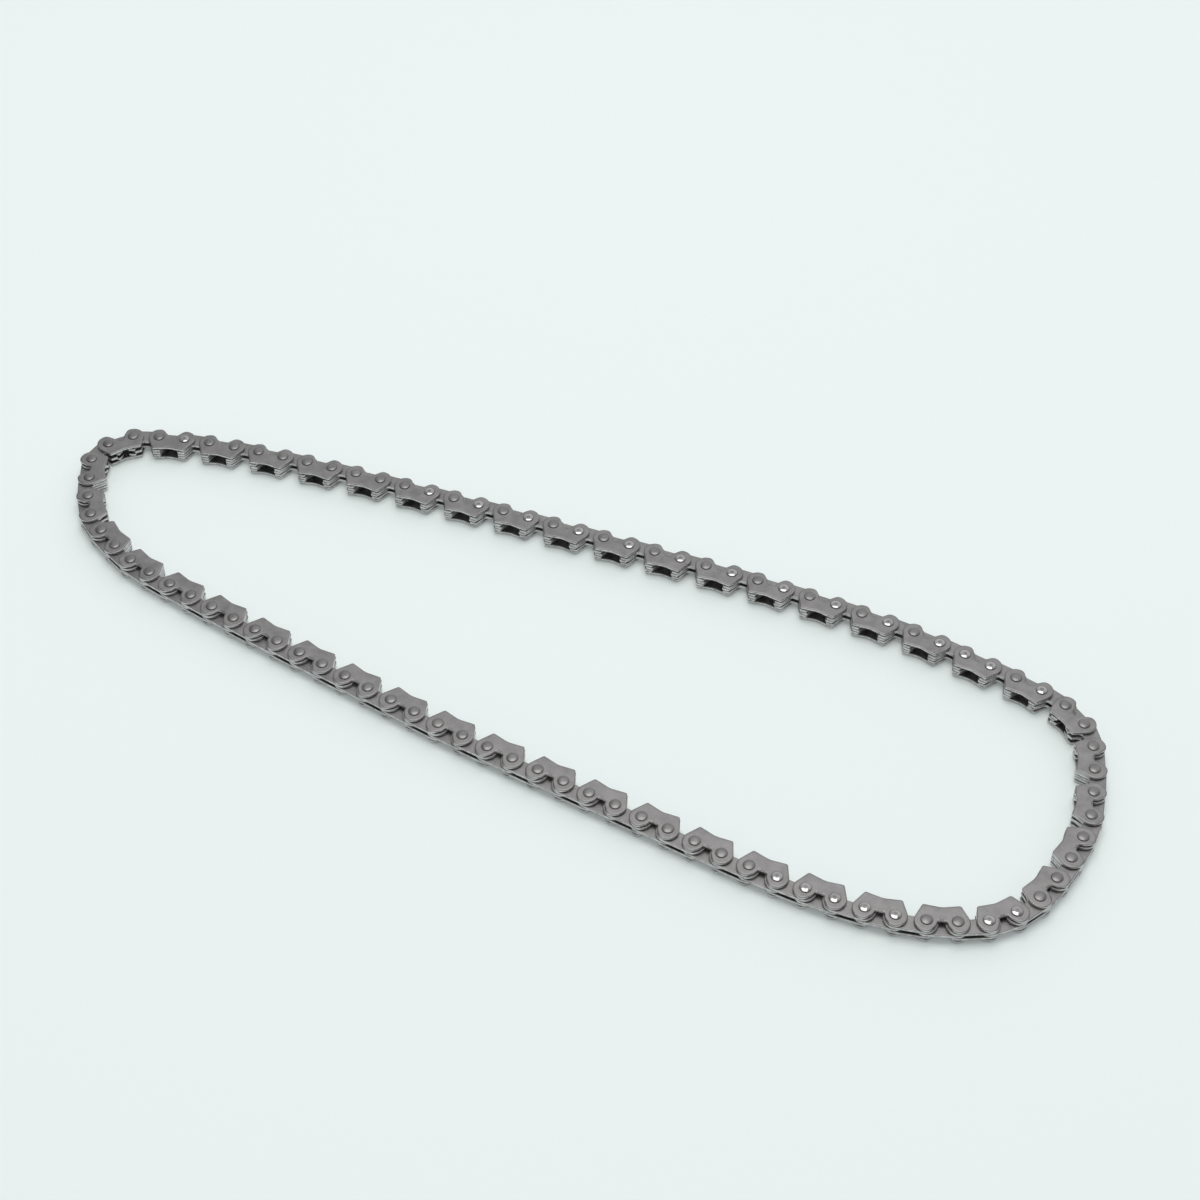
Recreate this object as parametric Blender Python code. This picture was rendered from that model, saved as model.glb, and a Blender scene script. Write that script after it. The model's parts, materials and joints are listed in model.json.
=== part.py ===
"""An endless silent timing chain: inverted-tooth steel links, lying on its side with the pins upright.

The loop lies in the XY plane, its long way along X, and stands on its pin ends at Z = 0. The toes of every
link point into the loop. A link's own frame has its first pin at the origin, its second pin on +X and its
toes towards +Y. Plates are stacked in five layers: guide, tooth, tooth, tooth, guide. The outer links hold
both guide plates and the middle tooth plate on two fixed pins; the inner links are the two tooth plates
between those, which turn on the pins of the outer links on either side.
"""

import math

import bmesh
import bpy
from mathutils import Matrix, Vector, geometry

MM = 0.001

# Chain
PITCH = 6.35 * MM
PAIRS = 45                      # an outer link and the inner link after it
ROOT_PAIR = 34                  # the pair that the others hang on, one after the other, both ways round
OPEN_PAIR = 13                  # its first pin is the open pivot, where both ways round meet
DETAILED_PAIRS = (OPEN_PAIR, ROOT_PAIR)     # link pairs whose pieces are objects of their own

# Pins
PIN_RADIUS = 1.05 * MM
PIN_STAND = 0.30 * MM           # how far an end stands out of the guide plate
PRESS_GAP = 0.02 * MM           # a pin in a plate that it is fixed in
TURN_GAP = 0.04 * MM            # a pin in a plate that turns on it

# Plates
GUIDE_THICKNESS = 0.70 * MM
TOOTH_THICKNESS = 0.75 * MM
LAYER_GAP = 0.04 * MM
FLANK_ANGLE = 28.0              # of a toe's flank, and where it leaves the eye, in degrees round the eye
BACK_ANGLE = -90.0              # straight behind the pin
EYE_SETBACK = 0.15 * MM         # how far the middle of an eye lies behind its pin
GUIDE_EYE = 2.57 * MM           # radius of the guide plate's eye
LOBE_REACH = 0.75 * MM          # how far the flat back of the eye goes past the pin, towards the notch
NOTCH_FLOOR = 0.15 * MM         # floor of the notch in the guide plate's back, behind the pins
NOTCH_WIDTH = 1.60 * MM         # of the floor
GUIDE_TOE = 3.95 * MM           # toe line of the guide plate, in front of the pins
GUIDE_CROTCH = 3.40 * MM
TOOTH_EYE = 2.50 * MM           # radius of the tooth plate's ends
TOOTH_TOE = 3.95 * MM
TOOTH_CROTCH = 1.40 * MM
TOE_WIDTH = 1.55 * MM

# Faceting of the round shapes: a few faces on the repeated links, more on the detailed ones
PLAIN = {"sides": 5, "corners": 2}
FINE = {"sides": 8, "corners": 4}
SHARP_ANGLE = 40.0              # edges that bend more than this are shaded sharp, in degrees

# The line that the chain lies along, in millimetres, counter-clockwise from the first pin
ROUTE = [
    (-121.5, 3.7), (-125.3, -2.0), (-125.2, -8.0), (-121.6, -13.5), (-118.0, -18.6), (-113.5, -23.2),
    (-107.9, -26.3), (-102.1, -28.6), (-96.0, -30.6), (-89.6, -31.6), (-77.2, -32.8), (-58.2, -34.3),
    (-32.8, -35.9), (-7.4, -37.5), (17.3, -37.9), (42.7, -38.1), (68.2, -38.3), (87.2, -37.1),
    (99.6, -34.7), (105.6, -32.7), (111.3, -30.0), (116.9, -26.3), (120.9, -21.2), (123.4, -15.4),
    (124.6, -8.9), (125.2, -2.7), (125.3, 3.4), (124.6, 9.7), (122.7, 15.8), (120.7, 21.5),
    (118.1, 27.3), (114.0, 32.1), (108.5, 35.0), (102.4, 36.4), (89.6, 37.5), (70.8, 38.4),
    (51.5, 37.3), (26.5, 34.6), (1.8, 30.9), (-23.3, 27.0), (-48.2, 22.9), (-73.1, 18.4),
    (-97.8, 12.8), (-110.0, 9.0), (-115.8, 6.6),
]
POINTS_PER_LEG = 24
LEAST_SCALE, MOST_SCALE = 0.95, 1.10        # of the line, against pitches laid along its own length
SCALE_ROUNDS = 50

PLATE_STEEL = ("plate_steel", (0.190, 0.180, 0.176, 1.0), 0.42, 0.90)
PIN_STEEL = ("pin_steel", (0.330, 0.318, 0.310, 1.0), 0.34, 0.95)


def material(name, colour, roughness, metallic):
    steel = bpy.data.materials.new(name)
    steel.use_nodes = True
    shader = steel.node_tree.nodes["Principled BSDF"]
    shader.inputs["Base Color"].default_value = colour
    shader.inputs["Roughness"].default_value = roughness
    shader.inputs["Metallic"].default_value = metallic
    steel.diffuse_color = colour
    return steel


# The line of the loop and the pins on it

def route_line():
    """Points along a smooth closed curve through ROUTE."""
    knots = [Vector((x, y, 0.0)) * MM for x, y in ROUTE]
    count = len(knots)
    ways = [(knots[(i + 1) % count] - knots[i - 1]).normalized() for i in range(count)]
    line = []
    for i, knot in enumerate(knots):
        after = knots[(i + 1) % count]
        reach = (after - knot).length / 3.0
        leg = geometry.interpolate_bezier(
            knot, knot + ways[i] * reach, after - ways[(i + 1) % count] * reach, after, POINTS_PER_LEG
        )
        line.extend(leg[:-1])
    return [point.to_2d() for point in line]


def walk(line, scale):
    """Pins one pitch apart along the scaled line, and the share of the line left over after the last one."""
    step = PITCH / scale
    lengths = [(line[(i + 1) % len(line)] - point).length for i, point in enumerate(line)]
    pins = [line[0]]
    travelled = 0.0
    place = 0
    here = line[0]
    for _ in range(2 * PAIRS):
        pin = pins[-1]
        end = line[(place + 1) % len(line)]
        while (end - pin).length < step:
            travelled += (end - here).length
            here = end
            place += 1
            end = line[(place + 1) % len(line)]
        way = (end - here).normalized()
        back = (here - pin).dot(way)
        ahead = -back + math.sqrt(back * back - (here - pin).length_squared + step * step)
        here = here + way * ahead
        travelled += ahead
        pins.append(here)
    return [pin * scale for pin in pins[:-1]], sum(lengths) - travelled


def chain_pins():
    """The pins of the closed loop: the line is scaled until a whole number of pitches goes round it."""
    line = route_line()
    length = sum((line[(i + 1) % len(line)] - point).length for i, point in enumerate(line))
    middle = 2 * PAIRS * PITCH / length
    low, high = LEAST_SCALE * middle, MOST_SCALE * middle
    for _ in range(SCALE_ROUNDS):
        middle = 0.5 * (low + high)
        if walk(line, middle)[1] > 0.0:
            high = middle
        else:
            low = middle
    return walk(line, middle)[0]


# Outlines

def eye_corners(radius, corners):
    """Corners of a line round an eye, from its back to the flank, which touches it between them."""
    turn = math.radians(FLANK_ANGLE - BACK_ANGLE)
    reach = radius / math.cos(0.5 * turn / corners)
    angles = [math.radians(BACK_ANGLE) + turn * (i + 0.5) / corners for i in range(corners)]
    return [(0.5 * PITCH + reach * math.cos(a), reach * math.sin(a) - EYE_SETBACK) for a in angles]


def toe_corner(eye, toe):
    """The outer corner of a toe: the flank leaves the eye at its own angle and runs to the toe line."""
    flank = math.radians(FLANK_ANGLE)
    start_x = 0.5 * PITCH + eye * math.cos(flank)
    start_y = eye * math.sin(flank) - EYE_SETBACK
    return start_x - (toe - start_y) * math.tan(flank), toe


def whole(half):
    """Both halves of a plate from its right half, which starts and may end on the middle line."""
    left = [(-x, y) for x, y in reversed(half) if x > 0.0]
    return [(x + 0.5 * PITCH, y) for x, y in half + left]


def guide_outline(corners):
    notch = [(0.5 * NOTCH_WIDTH, -NOTCH_FLOOR), (0.5 * PITCH - LOBE_REACH, -GUIDE_EYE - EYE_SETBACK)]
    front = [toe_corner(GUIDE_EYE, GUIDE_TOE), (0.0, GUIDE_CROTCH)]
    return whole(notch + eye_corners(GUIDE_EYE, corners) + front)


def tooth_outline(corners):
    corner_x, corner_y = toe_corner(TOOTH_EYE, TOOTH_TOE)
    front = [(corner_x, corner_y), (corner_x - TOE_WIDTH, corner_y), (0.0, TOOTH_CROTCH)]
    return whole(eye_corners(TOOTH_EYE, corners) + front)


def polygon(centre_x, radius, sides):
    """A round hole's rim or a pin's section: corners on the radius."""
    turns = [2.0 * math.pi * (i + 0.5) / sides for i in range(sides)]
    return [(centre_x + radius * math.cos(a), radius * math.sin(a)) for a in turns]


def fixed_hole(sides):
    """Radius of the hole round a pin that doesn't turn in it: the same polygon, a little larger."""
    return PIN_RADIUS + PRESS_GAP / math.cos(math.pi / sides)


def turning_hole(sides):
    """Radius of a hole whose flats clear the corners of a pin that turns in it."""
    return (PIN_RADIUS + TURN_GAP) / math.cos(math.pi / sides)


# Meshes

def flat_mesh(name, outline, holes, thickness):
    """A plate from its outline and the rims of its holes, lying on Z = 0."""
    curve = bpy.data.curves.new(name, "CURVE")
    curve.dimensions = "2D"
    curve.fill_mode = "BOTH"
    curve.extrude = 0.5 * thickness
    for ring in [outline] + holes:
        spline = curve.splines.new("POLY")
        spline.points.add(len(ring) - 1)
        for point, (x, y) in zip(spline.points, ring):
            point.co = (x, y, 0.0, 1.0)
        spline.use_cyclic_u = True
    blank = bpy.data.objects.new(name, curve)
    bpy.context.scene.collection.objects.link(blank)
    bpy.context.view_layer.update()
    mesh = bpy.data.meshes.new_from_object(blank.evaluated_get(bpy.context.evaluated_depsgraph_get()))
    bpy.data.objects.remove(blank)
    bpy.data.curves.remove(curve)
    shape = bmesh.new()
    shape.from_mesh(mesh)
    bmesh.ops.remove_doubles(shape, verts=shape.verts, dist=0.001 * MM)
    bmesh.ops.translate(shape, verts=shape.verts, vec=(0.0, 0.0, 0.5 * thickness))
    bmesh.ops.recalc_face_normals(shape, faces=shape.faces)
    shape.to_mesh(mesh)
    shape.free()
    mesh.name = name
    return mesh


def pin_mesh(name, sides, low, high):
    """An upright pin from one height to another."""
    shape = bmesh.new()
    bmesh.ops.create_cone(
        shape, cap_ends=True, segments=sides, radius1=PIN_RADIUS, radius2=PIN_RADIUS, depth=high - low,
        matrix=Matrix.Translation((0.0, 0.0, 0.5 * (low + high))) @ Matrix.Rotation(math.pi / sides, 4, "Z"),
    )
    mesh = bpy.data.meshes.new(name)
    shape.to_mesh(mesh)
    shape.free()
    return mesh


def gathered(name, placed_meshes):
    """One mesh of several, each with the matrix that places it."""
    shape = bmesh.new()
    for mesh, matrix in placed_meshes:
        first = len(shape.verts)
        shape.from_mesh(mesh)
        shape.verts.ensure_lookup_table()
        bmesh.ops.transform(shape, matrix=matrix, verts=shape.verts[first:])
    mesh = bpy.data.meshes.new(name)
    shape.to_mesh(mesh)
    shape.free()
    return mesh


def united(name, base_mesh, tool_mesh, cutters):
    """Two meshes joined into one closed body."""
    base, tool = (bpy.data.objects.new(mesh.name, mesh) for mesh in (base_mesh, tool_mesh))
    for blank in (base, tool):
        cutters.objects.link(blank)
        blank.hide_render = True
        blank.display_type = "WIRE"
    union = base.modifiers.new("union", "BOOLEAN")
    union.operation = "UNION"
    union.solver = "EXACT"
    union.object = tool
    bpy.context.view_layer.update()
    joined = bpy.data.meshes.new_from_object(base.evaluated_get(bpy.context.evaluated_depsgraph_get()))
    joined.name = name
    bpy.data.objects.remove(base)
    bpy.data.objects.remove(tool)
    return joined


def outer_link_mesh(faceting, heights, cutters):
    """Both guide plates and the middle tooth plate on their two pins, whose ends lie inside the guides."""
    sides, corners = faceting["sides"], faceting["corners"]
    guide = flat_mesh("guide_blank", guide_outline(corners), [], GUIDE_THICKNESS)
    tooth = flat_mesh("tooth_blank", tooth_outline(corners), [], TOOTH_THICKNESS)
    levels = [(guide, heights[0]), (tooth, heights[2]), (guide, heights[4])]
    plates = gathered("plate_blanks", [(mesh, Matrix.Translation((0.0, 0.0, z))) for mesh, z in levels])
    inset = 0.5 * GUIDE_THICKNESS
    pin = pin_mesh("pin_blank", sides, heights[0] + inset, heights[4] + inset)
    pins = gathered("pin_blanks", [(pin, Matrix.Translation((x, 0.0, 0.0))) for x in (0.0, PITCH)])
    return united("outer_link", plates, pins, cutters)


def layer_heights():
    """The underside of each of the five layers."""
    heights = [PIN_STAND]
    for thickness in (GUIDE_THICKNESS, TOOTH_THICKNESS, TOOTH_THICKNESS, TOOTH_THICKNESS):
        heights.append(heights[-1] + thickness + LAYER_GAP)
    return heights


# Objects

def put(name, mesh, steel, collection, parent=None, location=(0.0, 0.0, 0.0), turn=0.0):
    piece = bpy.data.objects.new(name, mesh)
    collection.objects.link(piece)
    if not mesh.materials:
        mesh.materials.append(steel)
    piece.parent = parent
    piece.location = location
    piece.rotation_euler = (0.0, 0.0, turn)
    return piece


def shade(mesh):
    mesh.shade_smooth()
    mesh.set_sharp_from_angle(angle=math.radians(SHARP_ANGLE))


def link_places(pins):
    """For each pair: its first pin, the heading of its outer link, and the bend to its inner link."""
    headings = []
    for i, pin in enumerate(pins):
        way = pins[(i + 1) % len(pins)] - pin
        headings.append(math.atan2(way.y, way.x))
    places = []
    for pair in range(PAIRS):
        outer, inner = headings[2 * pair], headings[2 * pair + 1]
        bend = (inner - outer + math.pi) % (2.0 * math.pi) - math.pi
        places.append((pins[2 * pair], outer, bend))
    return places


def joint_pin(number, bend):
    """The pin that a pair turns on, in its own frame: its first one, or the next pair's on the way back."""
    if OPEN_PAIR <= number < ROOT_PAIR:
        return Vector((PITCH + PITCH * math.cos(bend), PITCH * math.sin(bend), 0.0))
    return Vector((0.0, 0.0, 0.0))


def standing(pin, heading, joint):
    """Where a pair's origin stands in the loop."""
    return Vector((pin.x, pin.y, 0.0)) + Matrix.Rotation(heading, 3, "Z") @ joint


def plain_pair(number, place, outer_link, inner_plate, heights, steel, collection, cutters):
    """The pair as one body: the outer link with the two plates of the inner link on its second pin."""
    pin, heading, bend = place
    joint = joint_pin(number, bend)
    turned = Matrix.Rotation(bend, 4, "Z")
    seats = [Matrix.Translation((PITCH, 0.0, height)) @ turned for height in (heights[1], heights[3])]
    plates = gathered("inner_plates", [(inner_plate, seat) for seat in seats])
    name = f"link_pair_{number:02d}"
    mesh = united(name, outer_link, plates, cutters)
    mesh.transform(Matrix.Translation(-joint))
    shade(mesh)
    put(name, mesh, steel, collection, location=standing(pin, heading, joint), turn=heading)


def detailed_pair(number, place, meshes, heights, steels, collection):
    """The pair in its separate pieces, on an empty that stands on the axis of the pin that it turns on."""
    pin, heading, bend = place
    joint = joint_pin(number, bend)
    axis = put_axis(f"link_{number:02d}_axis", standing(pin, heading, joint), heading, collection)
    plates, pins = steels
    pieces = (
        ("guide_plate_bottom", "guide", plates, 0.0, heights[0], 0.0),
        ("guide_plate_top", "guide", plates, 0.0, heights[4], 0.0),
        ("middle_tooth_plate", "middle", plates, 0.0, heights[2], 0.0),
        ("first_pin", "pin", pins, 0.0, 0.0, 0.0),
        ("second_pin", "pin", pins, PITCH, 0.0, 0.0),
        ("inner_tooth_plate_lower", "inner", plates, PITCH, heights[1], bend),
        ("inner_tooth_plate_upper", "inner", plates, PITCH, heights[3], bend),
    )
    for piece, shape, steel, along, height, turn in pieces:
        seat = Vector((along, 0.0, height)) - joint
        put(f"link_{number:02d}_{piece}", meshes[shape], steel, collection, axis, seat, turn)


def put_axis(name, place, heading, collection):
    axis = bpy.data.objects.new(name, None)
    axis.empty_display_size = PIN_RADIUS
    collection.objects.link(axis)
    axis.location = place
    axis.rotation_euler = (0.0, 0.0, heading)
    return axis


def tooth_plate(name, faceting, hole_radii):
    """A tooth plate with holes, given as a radius for each distance along the plate."""
    holes = [polygon(x, radius, faceting["sides"]) for x, radius in hole_radii.items()]
    return flat_mesh(name, tooth_outline(faceting["corners"]), holes, TOOTH_THICKNESS)


def centred(pins):
    """The pins with the middle of their extent at the origin."""
    xs = [pin.x for pin in pins]
    ys = [pin.y for pin in pins]
    middle = Vector((0.5 * (min(xs) + max(xs)), 0.5 * (min(ys) + max(ys))))
    return [pin - middle for pin in pins]


def main():
    for old in list(bpy.data.objects):
        bpy.data.objects.remove(old)
    chain = bpy.data.collections.new("timing_chain")
    cutters = bpy.data.collections.new("cutters")
    for collection in (chain, cutters):
        bpy.context.scene.collection.children.link(collection)
    plate_steel = material(*PLATE_STEEL)
    pin_steel = material(*PIN_STEEL)

    heights = layer_heights()
    top = heights[4] + GUIDE_THICKNESS + PIN_STAND
    outer_link = outer_link_mesh(PLAIN, heights, cutters)
    inner_plate = tooth_plate("inner_plate", PLAIN, {PITCH: turning_hole(PLAIN["sides"])})

    sides = FINE["sides"]
    fixed, turning = fixed_hole(sides), turning_hole(sides)
    rims = [polygon(x, fixed, sides) for x in (0.0, PITCH)]
    fine = {
        "guide": flat_mesh("guide_plate", guide_outline(FINE["corners"]), rims, GUIDE_THICKNESS),
        "middle": tooth_plate("middle_tooth_plate", FINE, {0.0: fixed, PITCH: fixed}),
        "inner": tooth_plate("inner_tooth_plate", FINE, {0.0: turning, PITCH: turning}),
        "pin": pin_mesh("pin", sides, 0.0, top),
    }
    for mesh in fine.values():
        shade(mesh)

    for pair, place in enumerate(link_places(centred(chain_pins()))):
        number = pair + 1
        if number in DETAILED_PAIRS:
            detailed_pair(number, place, fine, heights, (plate_steel, pin_steel), chain)
        else:
            plain_pair(number, place, outer_link, inner_plate, heights, plate_steel, chain, cutters)


if __name__ == "__main__":
    main()
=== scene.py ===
"""The timing chain as it lies in the photograph: blackened steel plates and bright-ended pins on a pale floor."""

import json
import math

import bmesh
import bpy
from mathutils import Matrix, Vector


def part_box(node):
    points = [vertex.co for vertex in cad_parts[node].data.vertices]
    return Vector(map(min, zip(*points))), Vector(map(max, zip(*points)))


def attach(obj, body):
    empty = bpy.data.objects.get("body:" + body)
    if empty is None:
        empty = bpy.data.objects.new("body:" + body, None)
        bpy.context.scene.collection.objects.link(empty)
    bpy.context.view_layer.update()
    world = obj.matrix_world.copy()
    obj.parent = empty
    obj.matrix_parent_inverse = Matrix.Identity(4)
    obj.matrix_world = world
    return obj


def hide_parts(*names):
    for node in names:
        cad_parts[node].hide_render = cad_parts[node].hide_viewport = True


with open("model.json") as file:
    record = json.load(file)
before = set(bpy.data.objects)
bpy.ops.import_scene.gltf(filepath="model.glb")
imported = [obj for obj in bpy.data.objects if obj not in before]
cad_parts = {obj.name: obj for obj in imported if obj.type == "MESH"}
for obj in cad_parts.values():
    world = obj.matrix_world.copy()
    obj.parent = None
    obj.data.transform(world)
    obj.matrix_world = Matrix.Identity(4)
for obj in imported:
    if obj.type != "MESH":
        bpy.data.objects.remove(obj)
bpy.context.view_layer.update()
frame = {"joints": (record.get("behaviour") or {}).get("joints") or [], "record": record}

MM = 0.001
FIRST, LAST = 1, 45
OPEN_LINK = "link_13"           # no joint stands on its first pin

# Plates, in a link's own frame: first pin at the origin, second on +X, toes towards +Y
PITCH = 6.35 * MM
EYE_SETBACK = 0.15 * MM         # how far the middle of an eye lies behind its pin
GUIDE_EYE = 2.57 * MM
GUIDE_WAIST = 2.20 * MM         # from the pin to the wall of the notch between the eyes
NOTCH_FLOOR = 0.05 * MM         # top of the notch's vault, behind the pins
GUIDE_TOE = 3.97 * MM
GUIDE_TOE_ROUND = 0.50 * MM
GUIDE_CROTCH = 3.40 * MM
CROTCH_BEND = (0.55 * MM, 0.03 * MM)    # where the guide plate's crotch bends towards a toe, from its middle
TOOTH_EYE = 2.50 * MM
TOOTH_TOE = 3.95 * MM
TOOTH_TOE_ROUND = 0.30 * MM
TOOTH_CROTCH = 0.95 * MM
CROTCH_HALF = 0.95 * MM         # half the width of the tooth plate's crotch
CROTCH_ROUND = 0.70 * MM
TOE_WIDTH = 1.55 * MM
FLANK = math.radians(28.0)

# Directions round a right-hand eye, from +X
BEHIND = math.radians(-90.0)
LOBE_WIDENS = math.radians(-135.0)      # from here, the lobe grows from its waist to the full eye
NOTCH_FOOT = math.radians(-172.0)       # where the wall of the notch ends and the vault starts

# Edges of the stamped plates
HOLE_RADIUS = 1.08 * MM
GUIDE_ROLL = 0.40 * MM          # width of the rolled edge that stamping leaves on an outline
TOOTH_ROLL = 0.26 * MM
HOLE_ROLL = 0.12 * MM           # the same on a hole
EDGE_DROP = 0.10 * MM           # how far a rolled edge falls below the face
STEEP = 0.6                     # a face whose normal has less height than this belongs to a wall or a shank
LEVEL = 0.9995                  # a face whose normal has more height than this is shaded flat
WELD = 0.0005 * MM              # corners closer than this become one

# Pins
PIN_RADIUS = 1.05 * MM
PIN_SIDES = 32
HEAD_RADIUS = 1.20 * MM         # of the peened end
HEAD_FLAT = 0.45 * MM           # radius of the flat in its middle
HEAD_FALL = 0.16 * MM           # from the flat down to the rim
HEAD_CURVE = 1.5                # power of the fall: slow by the flat, quick by the rim
HEAD_STEPS = 8
RIM_OUT = 0.02 * MM             # widest point of the rim, outside its edge
RIM_DOWN = 0.04 * MM            # and below it
NECK = 0.01 * MM                # half the height of the step from the head to the shank
SHARP_ANGLE = math.radians(50.0)
PIN_SHADE_INSIDE = 1.20 * MM         # painted shade: the dark ring on the plate round a pin's end
PIN_SHADE_OUTSIDE = 1.50 * MM

# Links whose first or second pin end gets a lighter, smoother steel on its rim: the lighter colour is a painted
# highlight
HIGHLIGHT_FIRST = {19, 20, 22, *range(28, 41), 45}
HIGHLIGHT_SECOND = {18, 19, 20, 22, 29}

# Steel: the dark and light ends of the tint, the range of roughness, and how dark the painted shade round a pin
# is
STEELS = {
    "plate_face": dict(
        dark=(0.160, 0.154, 0.152, 1.0), light=(0.240, 0.231, 0.228, 1.0), rough=(0.36, 0.48), ring=0.5,
    ),
    "plate_wall": dict(
        dark=(0.340, 0.331, 0.328, 1.0), light=(0.760, 0.748, 0.742, 1.0), rough=(0.26, 0.42),
        stretch=(2.0, 2.0, 0.3),
    ),
    # painted highlight: a lighter and smoother copy of the pin steel, for the rims of the pin ends listed above
    "pin_end_painted_highlight": dict(
        dark=(0.270, 0.263, 0.260, 1.0), light=(0.370, 0.361, 0.357, 1.0), rough=(0.10, 0.17), grain=0.004,
    ),
    "pin_end_dull": dict(
        dark=(0.140, 0.135, 0.133, 1.0), light=(0.215, 0.208, 0.205, 1.0), rough=(0.28, 0.42),
    ),
}
DRIFT_SCALE = 420.0             # of the noise that drifts over a few millimetres
GRAIN_SCALE = 5200.0            # of the tumbled grain
GRAIN_SHARE = 0.35              # of the grain in the tint
GRAIN_RELIEF = 0.5              # strength of the grain's bump
TINT_SPAN = (0.36, 0.64)        # the part of the noise that the tint uses
GLOSS_SPAN = (0.3, 0.7)         # the part of the noise that the roughness uses
OWN_SHIFT = 37.0                # how far one piece's noise can lie from another's

# Floor: its paper and the even light that it gives off
FLOOR_SIZE = 6.0
FLOOR_DROP = 0.02 * MM
PAPER_COLOUR = (0.74, 0.79, 0.77, 1.0)
PAPER_GLOW = (0.91, 1.0, 0.99, 1.0)
PAPER_GLOW_STRENGTH = 0.165

# Light: directions in degrees from the chain, azimuth from the camera's line of sight, then elevation
AIR_COLOUR = (0.96, 0.985, 1.0, 1.0)
AIR_STRENGTH = 0.44
GLOW_STRENGTH = 1.20
GLOW_WAY = (-18.0, 30.0)
GLOW_EDGE = 50.0                # angle from its middle at which the glow has faded
GLOW_CORE = 10.0                # angle within which it is full
OVERHEAD_WAY = (-5.0, 80.0)
OVERHEAD_DISTANCE = 1.3
OVERHEAD_SIZE = 0.8
OVERHEAD_POWER = 7.0

# Camera, from the photograph: 1200 pixels square
FOCAL_PIXELS = 2302.8
FRAME_PIXELS = 1200
SENSOR_WIDTH = 36.0
CAMERA_DISTANCE = 526.6 * MM
CAMERA_ELEVATION = math.radians(46.64)
CAMERA_AZIMUTH = math.radians(28.83)
CAMERA_ROLL = math.radians(0.60)
CAMERA_TARGET = Vector((4.65, 11.82, 4.38)) * MM


# Where things are

def middle(node):
    low, high = (Vector(corner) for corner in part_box(node))
    return 0.5 * (low + high)


def level(node):
    """Lowest and highest point of a node."""
    low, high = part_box(node)
    return low[2], high[2]


def first_pins():
    """The first pin of each pair: the joint with the pair's number stands on it, or else it is a node."""
    places = {int(joint["name"].split("_")[1]): Vector(joint["pos_m"]).to_2d() for joint in frame["joints"]}
    places[int(OPEN_LINK.split("_")[1])] = middle(OPEN_LINK + "_first_pin").to_2d()
    return places


def second_pin(here, after):
    """One pitch from both pins, on the side away from the loop."""
    way = after - here
    rise = math.sqrt(max(PITCH * PITCH - 0.25 * way.length_squared, 0.0))
    return here + 0.5 * way + Vector((way.y, -way.x)).normalized() * rise


def heading(here, after):
    way = after - here
    return math.atan2(way.y, way.x)


# Outlines

def arc(centre, radius, start, end, steps):
    turns = [start + (end - start) * i / steps for i in range(steps + 1)]
    return [(centre[0] + radius * math.cos(a), centre[1] + radius * math.sin(a)) for a in turns]


def rounded(before, corner, after, radius, steps=5):
    """A corner between two straight lines, rounded by an arc that touches both."""
    corner, before, after = (Vector(p) for p in (corner, before, after))
    into, out = (before - corner).normalized(), (after - corner).normalized()
    half = 0.5 * into.angle(out)
    centre = corner + (into + out).normalized() * (radius / math.sin(half))
    start = corner + into * (radius / math.tan(half)) - centre
    turn = math.remainder(math.atan2(out.y, out.x) - math.atan2(-into.y, -into.x), 2.0 * math.pi)
    begin = math.atan2(start.y, start.x)
    return arc(centre, radius, begin, begin + turn, steps)


def mirrored(half):
    """The whole outline from its right half, about the middle of the link."""
    left = [(-x, y) for x, y in reversed(half) if x > 1e-7]
    return [(x + 0.5 * PITCH, y) for x, y in half + left]


def eye(radius, steps):
    """The round end of a plate, from straight behind the pin to the flank."""
    return arc((0.5 * PITCH, -EYE_SETBACK), radius, BEHIND, FLANK, steps)


def toe_corner(eye_end, toe):
    """Where the flank meets the toe line."""
    return eye_end[0] - (toe - eye_end[1]) * math.tan(FLANK), toe


def guide_outline():
    """A vaulted notch between two lobes, each narrower towards the notch than outside, and two short toes."""
    pin, back = 0.5 * PITCH, GUIDE_EYE + EYE_SETBACK
    foot = (pin + GUIDE_WAIST * math.cos(NOTCH_FOOT), GUIDE_WAIST * math.sin(NOTCH_FOOT))
    vault = foot[1] + NOTCH_FLOOR
    turns = [0.5 * math.pi * i / 6 for i in range(6)]
    notch = [(foot[0] * math.sin(a), foot[1] - vault * math.cos(a)) for a in turns]
    lobe = []
    for i in range(19):
        a = NOTCH_FOOT + (BEHIND - NOTCH_FOOT) * i / 18
        part = min(max((a - LOBE_WIDENS) / (BEHIND - LOBE_WIDENS), 0.0), 1.0)
        reach = GUIDE_WAIST + (back - GUIDE_WAIST) * part * part * (3.0 - 2.0 * part)
        lobe.append((pin + reach * math.cos(a), reach * math.sin(a)))
    outside = eye(GUIDE_EYE, 16)
    toe = rounded(outside[-1], toe_corner(outside[-1], GUIDE_TOE), (0.0, GUIDE_CROTCH), GUIDE_TOE_ROUND)
    crotch = [(CROTCH_BEND[0], GUIDE_CROTCH + CROTCH_BEND[1]), (0.0, GUIDE_CROTCH)]
    return mirrored(notch + lobe + outside[1:] + toe + crotch)


def tooth_outline():
    """A flat back between two eyes, and two toes with a deep crotch."""
    outside = eye(TOOTH_EYE, 14)
    corner = toe_corner(outside[-1], TOOTH_TOE)
    inner = (corner[0] - TOE_WIDTH, TOOTH_TOE)
    root = (CROTCH_HALF, TOOTH_CROTCH)
    toe = rounded(outside[-1], corner, inner, TOOTH_TOE_ROUND, 4)
    toe += rounded(corner, inner, root, TOOTH_TOE_ROUND, 4)
    return mirrored(outside + toe + rounded(inner, root, (0.0, TOOTH_CROTCH), CROTCH_ROUND, 5))


# Meshes

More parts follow.
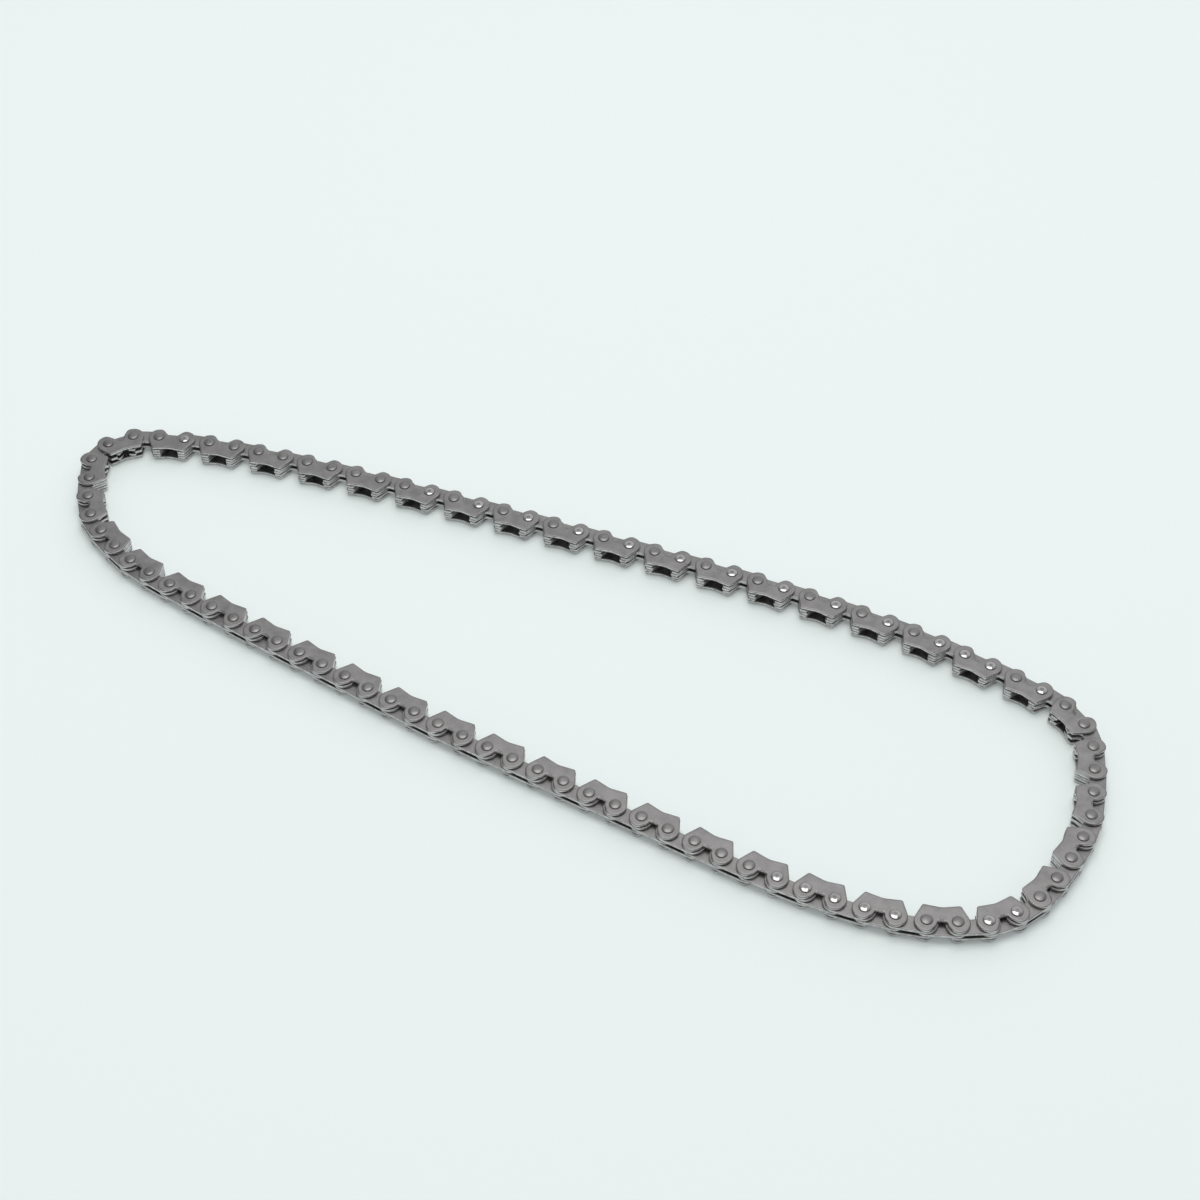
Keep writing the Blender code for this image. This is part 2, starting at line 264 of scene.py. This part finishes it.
def plate_blank(name, outline, wall, roll):
    """A plate with two pin holes and round rolled edges, as a filled curve turned into a mesh."""
    curve = bpy.data.curves.new(name, "CURVE")
    curve.dimensions = "2D"
    curve.fill_mode = "BOTH"
    curve.extrude = wall
    curve.bevel_depth = roll
    curve.bevel_resolution = 2
    curve.offset = -roll
    holes = [arc((x, 0.0), HOLE_RADIUS, 0.0, 2.0 * math.pi * 27 / 28, 27) for x in (0.0, PITCH)]
    for ring in [outline] + holes:
        spline = curve.splines.new("POLY")
        spline.points.add(len(ring) - 1)
        for point, (x, y) in zip(spline.points, ring):
            point.co = (x, y, 0.0, 1.0)
        spline.use_cyclic_u = True
    blank = bpy.data.objects.new(name, curve)
    bpy.context.scene.collection.objects.link(blank)
    bpy.context.view_layer.update()
    mesh = bpy.data.meshes.new_from_object(blank.evaluated_get(bpy.context.evaluated_depsgraph_get()))
    bpy.data.objects.remove(blank)
    return mesh


def plate_mesh(name, outline, thickness, roll):
    """A stamped plate with wide, shallow rolled edges; its walls take the second material."""
    wall = 0.5 * thickness - EDGE_DROP
    rim = HOLE_RADIUS + 1.05 * roll         # a little past the edge of a hole
    mesh = plate_blank(name, outline, wall, roll)
    shape = bmesh.new()
    shape.from_mesh(mesh)
    for vert in shape.verts:
        # The blank's edges are as high as they are wide: squeeze them flat, and narrow on the holes
        over = max(abs(vert.co.z) - wall, 0.0)
        vert.co.z = math.copysign(abs(vert.co.z) - over * (1.0 - EDGE_DROP / roll), vert.co.z)
        for x in (0.0, PITCH):
            out = Vector((vert.co.x - x, vert.co.y))
            if out.length < rim:
                out *= (HOLE_RADIUS + (out.length - HOLE_RADIUS) * HOLE_ROLL / roll) / out.length
                vert.co.x, vert.co.y = x + out.x, out.y
    bmesh.ops.remove_doubles(shape, verts=shape.verts, dist=WELD)
    bmesh.ops.recalc_face_normals(shape, faces=shape.faces)
    shape.to_mesh(mesh)
    shape.free()
    for face in mesh.polygons:
        face.material_index = 0 if abs(face.normal.z) > STEEP else 1
    return mesh


def pin_profile(low, high, stand):
    """Half section of a pin: peened ends with a flat middle that falls away to the rim, and a plain shank."""
    lower = [(0.0, low)]
    for i in range(HEAD_STEPS + 1):
        out = HEAD_FLAT + (HEAD_RADIUS - HEAD_FLAT) * i / HEAD_STEPS
        lower.append((out, low + HEAD_FALL * (i / HEAD_STEPS) ** HEAD_CURVE))
    lower += [(HEAD_RADIUS + RIM_OUT, low + HEAD_FALL + RIM_DOWN)]
    lower += [(HEAD_RADIUS, low + stand - NECK), (PIN_RADIUS, low + stand + NECK)]
    upper = [(x, low + high - z) for x, z in reversed(lower)]
    return lower + upper


def pins_mesh(name, low, high, stand):
    """Both pins of an outer link, turned from one half section; the rims of their ends have a material each."""
    shape = bmesh.new()
    for x in (0.0, PITCH):
        ring = [shape.verts.new((x + px, 0.0, pz)) for px, pz in pin_profile(low, high, stand)]
        edges = [shape.edges.new(pair) for pair in zip(ring, ring[1:])]
        bmesh.ops.spin(
            shape, geom=ring + edges, angle=2.0 * math.pi, steps=PIN_SIDES, axis=(0.0, 0.0, 1.0),
            cent=(x, 0.0, 0.0), use_merge=True,
        )
    bmesh.ops.remove_doubles(shape, verts=shape.verts, dist=WELD)
    bmesh.ops.recalc_face_normals(shape, faces=shape.faces)
    for face in shape.faces:
        spot = face.calc_center_median()
        second = spot.x > 0.5 * PITCH
        out = math.hypot(spot.x - PITCH * second, spot.y)
        rim = HEAD_FLAT < out and abs(face.normal.z) > STEEP
        face.material_index = 1 + second if rim else 0
    mesh = bpy.data.meshes.new(name)
    shape.to_mesh(mesh)
    shape.free()
    mesh.shade_smooth()
    mesh.set_sharp_from_angle(angle=SHARP_ANGLE)
    return mesh


def stacked(name, plates, heights):
    """Several plates, each at its own height, as one mesh."""
    shape = bmesh.new()
    for plate, height in zip(plates, heights):
        first = len(shape.verts)
        shape.from_mesh(plate)
        shape.verts.ensure_lookup_table()
        bmesh.ops.translate(shape, verts=shape.verts[first:], vec=(0.0, 0.0, height))
    stack = bpy.data.meshes.new(name)
    shape.to_mesh(stack)
    shape.free()
    for face in stack.polygons:
        face.use_smooth = abs(face.normal.z) < LEVEL
    return stack


# Materials

def node(tree, kind, **values):
    made = tree.nodes.new(kind)
    for key, value in values.items():
        setattr(made, key, value)
    return made


def map_range(tree, source, span, result, **values):
    """A value of one range carried over to another."""
    made = node(tree, "ShaderNodeMapRange", **values)
    made.inputs["From Min"].default_value, made.inputs["From Max"].default_value = span
    made.inputs["To Min"].default_value, made.inputs["To Max"].default_value = result
    tree.links.new(source, made.inputs["Value"])
    return made.outputs["Result"]


def pin_shade_mask(tree, place):
    """Mask for the painted shade round the pin heads: 1 beside the pin heads of a link, falling to 0 a little
    further out.
    """
    apart = node(tree, "ShaderNodeSeparateXYZ")
    tree.links.new(place.outputs["Object"], apart.inputs[0])
    steps = (("SUBTRACT", 0.5 * PITCH), ("ABSOLUTE", 0.0), ("SUBTRACT", 0.5 * PITCH))
    link = apart.outputs["X"]
    for operation, value in steps:
        step = node(tree, "ShaderNodeMath", operation=operation)
        step.inputs[1].default_value = value
        tree.links.new(link, step.inputs[0])
        link = step.outputs[0]
    joined = node(tree, "ShaderNodeCombineXYZ")
    tree.links.new(link, joined.inputs["X"])
    tree.links.new(apart.outputs["Y"], joined.inputs["Y"])
    length = node(tree, "ShaderNodeVectorMath", operation="LENGTH")
    tree.links.new(joined.outputs[0], length.inputs[0])
    return map_range(
        tree, length.outputs["Value"], (PIN_SHADE_INSIDE, PIN_SHADE_OUTSIDE), (1.0, 0.0), interpolation_type="SMOOTHSTEP"
    )


def steel(name, dark, light, rough, metallic=0.92, grain=0.010, stretch=(1.0, 1.0, 1.0), ring=0.0):
    """Steel whose colour and roughness drift over a few millimetres, with a fine tumbled grain, and a painted
    shade that darkens the colour by ring round the pin heads.
    """
    material = bpy.data.materials.new(name)
    material.use_nodes = True
    tree = material.node_tree
    shader = tree.nodes["Principled BSDF"]
    shader.inputs["Metallic"].default_value = metallic
    place = node(tree, "ShaderNodeTexCoord")
    own = node(tree, "ShaderNodeObjectInfo")
    spread = node(tree, "ShaderNodeMath", operation="MULTIPLY")
    spread.inputs[1].default_value = OWN_SHIFT
    tree.links.new(own.outputs["Random"], spread.inputs[0])
    squeeze = node(tree, "ShaderNodeMapping")
    squeeze.inputs["Scale"].default_value = stretch
    tree.links.new(place.outputs["Object"], squeeze.inputs["Vector"])

    def noise(scale, detail, roughness):
        made = node(tree, "ShaderNodeTexNoise", noise_dimensions="4D")
        made.inputs["Scale"].default_value = scale
        made.inputs["Detail"].default_value = detail
        made.inputs["Roughness"].default_value = roughness
        tree.links.new(squeeze.outputs["Vector"], made.inputs["Vector"])
        tree.links.new(spread.outputs[0], made.inputs["W"])
        return made

    drift = noise(DRIFT_SCALE, 4.0, 0.6)
    fine = noise(GRAIN_SCALE, 3.0, 0.65)
    mixed = node(tree, "ShaderNodeMix", data_type="FLOAT")
    mixed.inputs["Factor"].default_value = GRAIN_SHARE
    tree.links.new(drift.outputs["Fac"], mixed.inputs["A"])
    tree.links.new(fine.outputs["Fac"], mixed.inputs["B"])
    tint = node(tree, "ShaderNodeValToRGB")
    for end, position, colour in zip(tint.color_ramp.elements, TINT_SPAN, (dark, light)):
        end.position, end.color = position, colour
    tree.links.new(mixed.outputs["Result"], tint.inputs["Fac"])
    # Painted shade: the tint is darkened by ring in a band round each pin head
    pin_shade_tint = node(tree, "ShaderNodeMix", data_type="RGBA", blend_type="MULTIPLY")
    pin_shade_tint.inputs["B"].default_value = (1.0 - ring, 1.0 - ring, 1.0 - ring, 1.0)
    tree.links.new(pin_shade_mask(tree, place), pin_shade_tint.inputs["Factor"])
    tree.links.new(tint.outputs["Color"], pin_shade_tint.inputs["A"])
    tree.links.new(pin_shade_tint.outputs["Result"], shader.inputs["Base Color"])
    tree.links.new(map_range(tree, drift.outputs["Fac"], GLOSS_SPAN, rough), shader.inputs["Roughness"])
    bump = node(tree, "ShaderNodeBump")
    bump.inputs["Strength"].default_value = GRAIN_RELIEF
    bump.inputs["Distance"].default_value = grain * MM
    tree.links.new(fine.outputs["Fac"], bump.inputs["Height"])
    tree.links.new(bump.outputs["Normal"], shader.inputs["Normal"])
    return material


# Pieces

def piece(name, mesh, body, nodes, place, turn):
    made = bpy.data.objects.new(name, mesh)
    bpy.context.scene.collection.objects.link(made)
    made.location = (place.x, place.y, 0.0)
    made.rotation_euler = (0.0, 0.0, turn)
    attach(made, body)
    if nodes:
        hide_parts(*nodes)


def link_meshes():
    """The outer link's plates, the inner link's plates and the pins by which of their two ends carry a painted
    highlight.
    """
    face, wall, bright, dull = (steel(name, **look) for name, look in STEELS.items())
    low, high = level(OPEN_LINK + "_first_pin")
    bottom, top = level(OPEN_LINK + "_guide_plate_bottom"), level(OPEN_LINK + "_guide_plate_top")
    centre = level(OPEN_LINK + "_middle_tooth_plate")
    lower, upper = level(OPEN_LINK + "_inner_tooth_plate_lower"), level(OPEN_LINK + "_inner_tooth_plate_upper")
    guide = plate_mesh("guide_plate", guide_outline(), bottom[1] - bottom[0], GUIDE_ROLL)
    tooth = plate_mesh("tooth_plate", tooth_outline(), centre[1] - centre[0], TOOTH_ROLL)
    outer = stacked("outer_plates", [guide, tooth, guide], [0.5 * sum(z) for z in (bottom, centre, top)])
    inner = stacked("inner_plates", [tooth, tooth], [0.5 * sum(z) for z in (lower, upper)])
    for mesh in (outer, inner):
        mesh.materials.append(face)
        mesh.materials.append(wall)
    pins = pins_mesh("link_pins", low, high, high - top[1])
    ends = (dull, bright)
    kinds = {}
    for first in (False, True):
        for second in (False, True):
            kinds[first, second] = pins.copy()
            for material in (dull, ends[first], ends[second]):
                kinds[first, second].materials.append(material)
    return outer, inner, kinds


def build_chain():
    outer, inner, kinds = link_meshes()
    places = first_pins()
    for number in range(FIRST, LAST + 1):
        here = places[number]
        after = places[number + 1 if number < LAST else FIRST]
        knee = second_pin(here, after)
        body = f"pair_{number:02d}"
        nodes = frame["record"]["behaviour"]["bodies"][body]
        pins_nodes = [n for n in nodes if n.endswith("_pin")]
        inner_nodes = [n for n in nodes if "_inner_" in n]
        outer_nodes = [n for n in nodes if n not in pins_nodes + inner_nodes]
        piece(f"outer_plates_{number:02d}", outer, body, outer_nodes, here, heading(here, knee))
        piece(f"inner_plates_{number:02d}", inner, body, inner_nodes, knee, heading(knee, after))
        kind = kinds[number in HIGHLIGHT_FIRST, number in HIGHLIGHT_SECOND]
        piece(f"pins_{number:02d}", kind, body, pins_nodes, here, heading(here, knee))


# Floor, light and camera

def add_floor():
    bpy.ops.mesh.primitive_plane_add(size=FLOOR_SIZE, location=(0.0, 0.0, -FLOOR_DROP))
    floor = bpy.context.object
    floor.name = "floor"
    paper = bpy.data.materials.new("pale_floor")
    paper.use_nodes = True
    shader = paper.node_tree.nodes["Principled BSDF"]
    shader.inputs["Base Color"].default_value = PAPER_COLOUR
    shader.inputs["Roughness"].default_value = 0.75
    shader.inputs["Specular IOR Level"].default_value = 0.2
    shader.inputs["Emission Color"].default_value = PAPER_GLOW
    shader.inputs["Emission Strength"].default_value = PAPER_GLOW_STRENGTH
    floor.data.materials.append(paper)


def toward(azimuth, elevation):
    """A direction from the chain, its azimuth counted from the camera's line of sight."""
    turn = CAMERA_AZIMUTH + math.radians(azimuth)
    rise = math.radians(elevation)
    return Vector((-math.sin(turn) * math.cos(rise), math.cos(turn) * math.cos(rise), math.sin(rise)))


def add_room():
    """A pale room with a broad glow beyond the chain, a little to the right."""
    world = bpy.data.worlds.new("studio")
    bpy.context.scene.world = world
    world.use_nodes = True
    tree = world.node_tree
    air = tree.nodes["Background"]
    air.inputs["Color"].default_value = AIR_COLOUR
    place = node(tree, "ShaderNodeTexCoord")
    near = node(tree, "ShaderNodeVectorMath", operation="DOT_PRODUCT")
    near.inputs[1].default_value = toward(*GLOW_WAY)
    tree.links.new(place.outputs["Generated"], near.inputs[0])
    span = (math.cos(math.radians(GLOW_EDGE)), math.cos(math.radians(GLOW_CORE)))
    glow = map_range(
        tree, near.outputs["Value"], span, (AIR_STRENGTH, GLOW_STRENGTH), interpolation_type="SMOOTHSTEP"
    )
    tree.links.new(glow, air.inputs["Strength"])


def add_overhead():
    """A soft square light above the chain that faces it."""
    light = bpy.data.lights.new("overhead", "AREA")
    light.size = OVERHEAD_SIZE
    light.energy = OVERHEAD_POWER
    box = bpy.data.objects.new("overhead", light)
    bpy.context.scene.collection.objects.link(box)
    way = toward(*OVERHEAD_WAY)
    box.location = way * OVERHEAD_DISTANCE
    box.rotation_euler = way.to_track_quat("Z", "Y").to_euler()


def add_camera():
    data = bpy.data.cameras.new("camera")
    data.sensor_width = SENSOR_WIDTH
    data.lens = FOCAL_PIXELS / FRAME_PIXELS * SENSOR_WIDTH
    data.clip_start = 0.01
    camera = bpy.data.objects.new("camera", data)
    bpy.context.scene.collection.objects.link(camera)
    flat = math.cos(CAMERA_ELEVATION)
    back = Vector((
        math.sin(CAMERA_AZIMUTH) * flat, -math.cos(CAMERA_AZIMUTH) * flat, math.sin(CAMERA_ELEVATION)
    ))
    level_turn = back.to_track_quat("Z", "Y").to_matrix().to_4x4()
    place = Matrix.Translation(CAMERA_TARGET + back * CAMERA_DISTANCE)
    camera.matrix_world = place @ level_turn @ Matrix.Rotation(CAMERA_ROLL, 4, "Z")
    bpy.context.scene.camera = camera


add_camera()
build_chain()
add_floor()
add_room()
add_overhead()
bpy.context.scene.view_settings.view_transform = "Standard"
